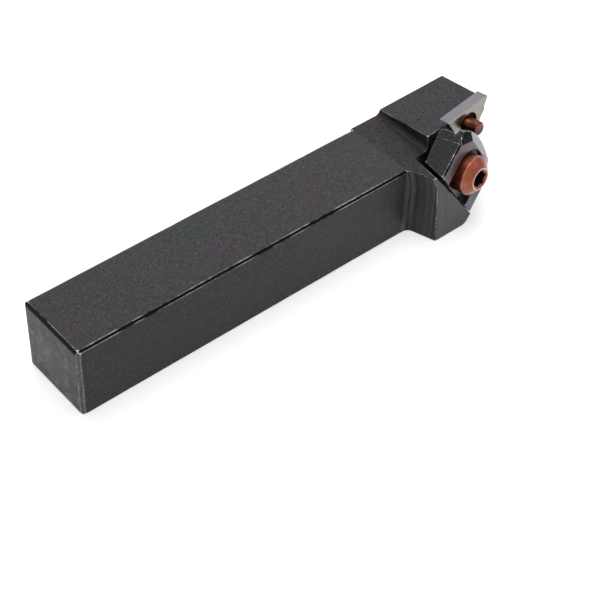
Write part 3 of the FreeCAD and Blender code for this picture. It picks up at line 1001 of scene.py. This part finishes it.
def browned(name, tones, rim_and_highlight, roughness, wear, metal, oil):
    """Tempered steel; tones are its own, its darker and its lighter brown."""
    material, tree, place, edge = new_material(name)
    skin = dict(zip(("Colour", "Cool", "Warm"), tones))
    skin |= {"Place": place, "Patch mm": 3.5, "Grain mm": 0.2, "Grain amount": 0.3}
    tone = use_group(tree, oxide_tone, skin)
    lathe = {"Place": place, "Across": tuple(up), "Pitch mm": 0.16, "Waver": 0.0}
    turning = use_group(tree, cutter_marks, lathe)["Height"]
    wearing = {"Place": place, "Edge": edge, "Breaks mm": 2.5, "Amount": wear}
    wear_and_glint = use_group(tree, edge_wear_and_glint, wearing)["Mask"]

    # The pale rim colour paints a highlight on the rims, partly over polish.
    colour = blended(tree, wear_and_glint, tone["Colour"], rim_and_highlight)
    rough = sums(tree, "ADD", sums(tree, "MULTIPLY", tone["Patches"], FILM_MATT), roughness)
    smoother = sums(tree, "MULTIPLY", wear_and_glint, RIM_SHINE)
    rough = sums(tree, "SUBTRACT", rough, smoother, clamp=True)
    height = sums(tree, "ADD", turning, sums(tree, "MULTIPLY", tone["Grain"], FILM_GRAIN))
    bump = put(tree, "Bump", {"Height": height, "Strength": 0.3, "Distance": 0.01 * MM})
    shader = {"Base Color": colour, "Roughness": rough, "Metallic": metal}
    shader |= {"Coat Weight": oil, "Coat Roughness": 0.15}
    return close_material(material, shader | {"Normal": bump.outputs[0]})


screw_brown = browned(
    "browned_clamp_screw",
    tones=(rgb(150, 74, 45), rgb(130, 56, 36), rgb(156, 94, 64)),
    rim_and_highlight=rgb(226, 190, 176),
    roughness=0.2,
    wear=0.75,
    metal=0.75,
    oil=0.4,
)
pin_brown = browned(
    "browned_locating_pin",
    tones=(rgb(96, 44, 24), rgb(66, 30, 20), rgb(112, 60, 37)),
    rim_and_highlight=rgb(190, 172, 160),
    roughness=0.24,
    wear=0.85,
    metal=0.95,
    oil=0.1,
)

# %% [markdown]
# ## Where each finish goes
# One piece can carry several materials, and each face holds the number of its own. The
# faces of the bar and the wedge are told apart by the way they look and by where they
# lie, which keeps working when the mesh gets more or fewer faces. A normal is one unit
# long, so its share in a direction is near 1 where the face looks that way and near 0
# where it looks aside.

# %% Rules for the faces
MOSTLY, STRAIGHT, ASIDE = 0.5, 0.97, 0.3
END_ZONE = 1.5 * MM
HEAD_START = 92.0 * MM
SHANK_SIDE = -9.9 * MM
SOCKET_ZONE_R, SOCKET_ZONE_LOW, SOCKET_FLOOR_ZONE = 2.36 * MM, 6.0 * MM, 8.5 * MM


def holder_face(normal, middle):
    """The finish of a face of the bar, from the rear end to the head."""
    if middle.x < END_ZONE and normal.x < -MOSTLY:
        if normal.y < -MOSTLY:
            return end_corner_wear_and_painted_light
        if abs(normal.z) < ASIDE:
            return sawn_oxide
    if middle.x < HEAD_START:
        chamfer = normal.z > 0.25 and max(-normal.x, -normal.y) > 0.25
        return chamfer_painted_shade if chamfer else ground_oxide
    if middle.y > SHANK_SIDE:
        return head_oxide
    if normal.y < -STRAIGHT:
        return fence_top_painted_sheen
    back = normal.x < -0.2 and abs(normal.z) < 0.6
    return milled_oxide if back else head_oxide


def wedge_face(normal, middle):
    """The finish of a face of the wedge, by how far it looks up the slanted line."""
    facing = normal.dot(up)
    if facing < 0.7:
        return wedge_oxide
    if facing > STRAIGHT:
        return rim_painted_sheen
    if normal.dot(across) > 0.45 and abs(normal.dot(along)) < 0.12:
        return bevel_painted_reflection
    return facet_painted_shade if normal.z > ASIDE else wedge_oxide


def plate_part(normal, middle):
    """The two large faces of the seat plate, or its sides."""
    return plate_face if abs(normal.dot(up)) > MOSTLY else plate_side


def screw_face(normal, middle):
    """Browned, but the walls and the floor of the socket get the ring's dark material, as painted shade in the
    recess.
    """
    offset = middle - screw_place.translation
    height = offset.dot(up)
    inside = height > SOCKET_ZONE_LOW and (offset - up * height).length < SOCKET_ZONE_R
    # The walls and the floor of the socket get painted shade.
    in_shade = abs(normal.dot(up)) < ASIDE or height < SOCKET_FLOOR_ZONE
    return ring_steel_and_socket_shade if inside and in_shade else screw_brown


print("rules:", [f.__name__ for f in (holder_face, wedge_face, plate_part, screw_face)])

# %% [markdown]
# ## Giving every piece its finish
# The materials go into the piece's list first, and then each face gets its number.


# %% Give every piece its finish
def finish_by_face(piece, materials, choose):
    """Adds the materials, and gives each face the one that its rule chooses."""
    for material in materials:
        piece.data.materials.append(material)
    for face in piece.data.polygons:
        face.material_index = materials.index(choose(face.normal, face.center))
    print(f"{piece.name}: {len(materials)} finishes")


bar_finishes = [
    ground_oxide,
    milled_oxide,
    sawn_oxide,
    fence_top_painted_sheen,
    chamfer_painted_shade,
    end_corner_wear_and_painted_light,
    head_oxide,
]
wedge_finishes = [wedge_oxide, rim_painted_sheen, bevel_painted_reflection, facet_painted_shade]
finish_by_face(holder, bar_finishes, holder_face)
finish_by_face(wedge, wedge_finishes, wedge_face)
finish_by_face(plate, [plate_face, plate_side], plate_part)
finish_by_face(ring, [ring_steel_and_socket_shade], lambda normal, middle: ring_steel_and_socket_shade)
finish_by_face(screw, [screw_brown, ring_steel_and_socket_shade], screw_face)
finish_by_face(pin, [pin_brown], lambda normal, middle: pin_brown)

# %% [markdown]
# ## Floor
# The holder lies on a plain white sheet. One square face is enough for it, but a large
# one, because other views look along the floor.

# %% Lay the sheet
FLOOR = 3.0
MIDDLE = (0.062, 0.0, 0.012)

mesh = bpy.data.meshes.new("floor")
corners = [(-FLOOR, -FLOOR, 0), (FLOOR, -FLOOR, 0), (FLOOR, FLOOR, 0), (-FLOOR, FLOOR, 0)]
mesh.from_pydata(corners, [], [(0, 1, 2, 3)])
floor = bpy.data.objects.new("floor", mesh)
scene.collection.objects.link(floor)
print("floor:", 2 * FLOOR, "m square")

# %% [markdown]
# ## White paper
# The sheet is an ordinary white surface for the light that falls on it, so it takes the
# holder's soft shadow. Light Path tells what kind of ray has met it, and a little white
# glow is added for the camera and for reflections only. It lifts the open sheet to pure
# white without any more light on the steel. The glow grows away from the holder, where
# the lamps no longer reach, so that no grey horizon shows in a low view.

# %% White paper
SEEN_NEAR, SEEN_FAR, MIRRORED = 0.58, 1.0, 0.52
NEAR, FAR = 0.25, 0.9

paper = bpy.data.materials.new("white_sheet")
paper.use_nodes = True
tree = paper.node_tree
ray = put(tree, "LightPath").outputs
place = put(tree, "TexCoord").outputs["Object"]
away = vectors(tree, "DISTANCE", place, MIDDLE, output="Value")
seen = spread(tree, away, NEAR, FAR, SEEN_NEAR, SEEN_FAR)
seen = sums(tree, "MULTIPLY", ray["Is Camera Ray"], seen)
mirror = sums(tree, "MAXIMUM", ray["Is Glossy Ray"], ray["Is Transmission Ray"])
glow = sums(tree, "MAXIMUM", seen, sums(tree, "MULTIPLY", mirror, MIRRORED))
white = {"Base Color": (0.86, 0.86, 0.86, 1), "Roughness": 0.9, "Specular IOR Level": 0.1}
white |= {"Emission Color": (1, 1, 1, 1), "Emission Strength": glow}
fill(tree, tree.nodes["Principled BSDF"], white)
mesh.materials.append(paper)
print("glow for the camera:", SEEN_NEAR, "near the holder,", SEEN_FAR, "far from it")

# %% [markdown]
# ## Light
# Product photographs of small steel parts are taken in a light tent: light comes from
# everywhere, a little more from above and from behind. A pale world stands for the tent.
# It is white where it is seen or mirrored and dimmer as a light, so that the lamps model
# the shape.

# %% The tent
AS_LIGHT, AS_SEEN = 0.25, 1.0

world = bpy.data.worlds.new("light_tent")
scene.world = world
world.use_nodes = True
sky = world.node_tree
ray = put(sky, "LightPath").outputs
shown = sums(sky, "MAXIMUM", ray["Is Glossy Ray"], ray["Is Transmission Ray"])
shown = sums(sky, "MAXIMUM", ray["Is Camera Ray"], shown)
between = {"Value": shown, "To Min": AS_LIGHT, "To Max": AS_SEEN}
strength = put(sky, "MapRange", between).outputs[0]
fill(sky, sky.nodes["Background"], {"Color": (1, 1, 1, 1), "Strength": strength})
print("tent:", AS_LIGHT, "as a light,", AS_SEEN, "where it is seen")

# %% [markdown]
# ## Lamps
# The brighter walls of the tent are round soft lamps: a broad one behind, which the long
# upper face mirrors, one overhead, and a weak one in front for the head of the screw. A
# large lamp gives soft shadows, as a large white cloth does.


# %% The lamps
def lamp(name, place, size, power):
    """A round soft lamp that looks at the middle of the holder."""
    data = bpy.data.lights.new(name, "AREA")
    data.shape = "DISK"
    data.size = size
    data.energy = power
    hung = bpy.data.objects.new(name, data)
    hung.location = place
    towards = Vector(MIDDLE) - Vector(place)
    hung.rotation_euler = towards.to_track_quat("-Z", "Y").to_euler()
    scene.collection.objects.link(hung)
    print(f"{name}: {power} W, {size} m wide")


lamp("top_softbox", (0.05, 0.05, 0.8), 0.5, 2.4)
lamp("far_softbox", (0.38, 0.66, 0.68), 1.2, 3.7)
lamp("near_fill", (0.55, -0.62, 0.6), 0.7, 0.35)

# %% [markdown]
# ## Camera
# The photograph's viewpoint was solved from the holder's own square edges and its known
# length, by fitting where the corners appear. That gives a turn, a height angle, a slight
# roll, the camera's place and the focal length, which was found in pixels of a picture
# 600 pixels wide and is turned into millimetres on a 36 mm sensor.

# %% Place the camera
AZIMUTH = math.radians(-42.1989)
ELEVATION = math.radians(45.4603)
ROLL = math.radians(2.7454)
STAND = Vector((-116.7171, -206.9771, 267.1272)) * MM
FOCAL_PIXELS, PICTURE_PIXELS, SENSOR = 1602.17, 600, 36.0

level = math.cos(ELEVATION)
back = (math.sin(AZIMUTH) * level, -math.cos(AZIMUTH) * level, math.sin(ELEVATION))
back = Vector(back)
right = Vector((math.cos(AZIMUTH), math.sin(AZIMUTH), 0))
above = back.cross(right)
rolled_right = right * math.cos(ROLL) + above * math.sin(ROLL)
rolled_above = above * math.cos(ROLL) - right * math.sin(ROLL)
lens = bpy.data.cameras.new("photo_view")
lens.sensor_width = SENSOR
lens.lens = SENSOR * FOCAL_PIXELS / PICTURE_PIXELS
lens.clip_start = 0.01
camera = bpy.data.objects.new("photo_view", lens)
camera.matrix_world = Matrix((rolled_right, rolled_above, back)).transposed().to_4x4()
camera.location = STAND
scene.collection.objects.link(camera)
scene.camera = camera
scene.view_settings.view_transform = "Standard"
print(f"lens {lens.lens:.2f} mm, {(STAND - Vector(MIDDLE)).length:.3f} m from the holder")
